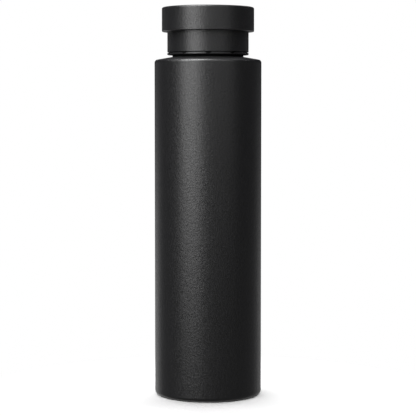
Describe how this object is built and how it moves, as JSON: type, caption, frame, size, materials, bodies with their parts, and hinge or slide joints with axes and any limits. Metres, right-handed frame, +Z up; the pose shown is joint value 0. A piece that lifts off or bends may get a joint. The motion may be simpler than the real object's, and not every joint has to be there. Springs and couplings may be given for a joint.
{
  "type": "vacuum flask",
  "caption": "Slim double-walled vacuum flask with a straight coated barrel and a two-tier screw lid that seals the mouth.",
  "frame": {"origin": "centre of the underside of the foot pad, on the surface the flask stands on", "axes": "+Z up along the flask's axis, -Y the front, +X to the right seen from the front"},
  "size_m": [0.0708, 0.0708, 0.2573],
  "materials": {
    "black_powder_coat": "fine-textured satin powder coat",
    "satin_steel": "satin turned",
    "liner_steel": "electropolished with faint turning marks",
    "polished_steel": "polished",
    "copper_foil": "bright foil",
    "getter_metal": "sintered",
    "sealing_glass": "fired",
    "black_silicone": "matte moulded",
    "clear_silicone": "satin moulded",
    "black_polypropylene": "moulded",
    "white_foam": "foamed"
  },
  "bodies": {
    "flask": {"outer_shell": "black_powder_coat", "outer_bottom": "satin_steel", "base_cover": "satin_steel", "base_pad": "black_silicone", "vacuum_seal": "sealing_glass", "getter": "getter_metal", "getter_holder": "satin_steel", "liner": "liner_steel", "liner_bottom": "liner_steel", "heat_shield": "copper_foil", "heat_shield_disc": "copper_foil", "mouth_rim": "polished_steel", "neck_thread_sleeve": "satin_steel"},
    "seal": {"lid_gasket": "clear_silicone"},
    "lid": {"lid_shell": "black_powder_coat", "lid_collar": "black_powder_coat", "lid_insert": "black_polypropylene", "lid_lock_ring": "black_polypropylene", "lid_insulation": "white_foam", "lid_inner_plate": "polished_steel", "plate_retainer": "black_polypropylene"}
  },
  "joints": [
    {"name": "lid_rise", "type": "slide", "parent": "flask", "child": "seal", "axis": [0, 0, 1], "range_m": [0, 0.0401]},
    {"name": "lid_turn", "type": "hinge", "parent": "seal", "child": "lid", "pos_m": [0, 0, 0.2437], "axis": [0, 0, 1], "range_deg": [0, 1440]}
  ],
  "couplings": [
    {"joint": "lid_rise", "follows": "lid_turn", "m_per_rad": 0.0015915}
  ]
}
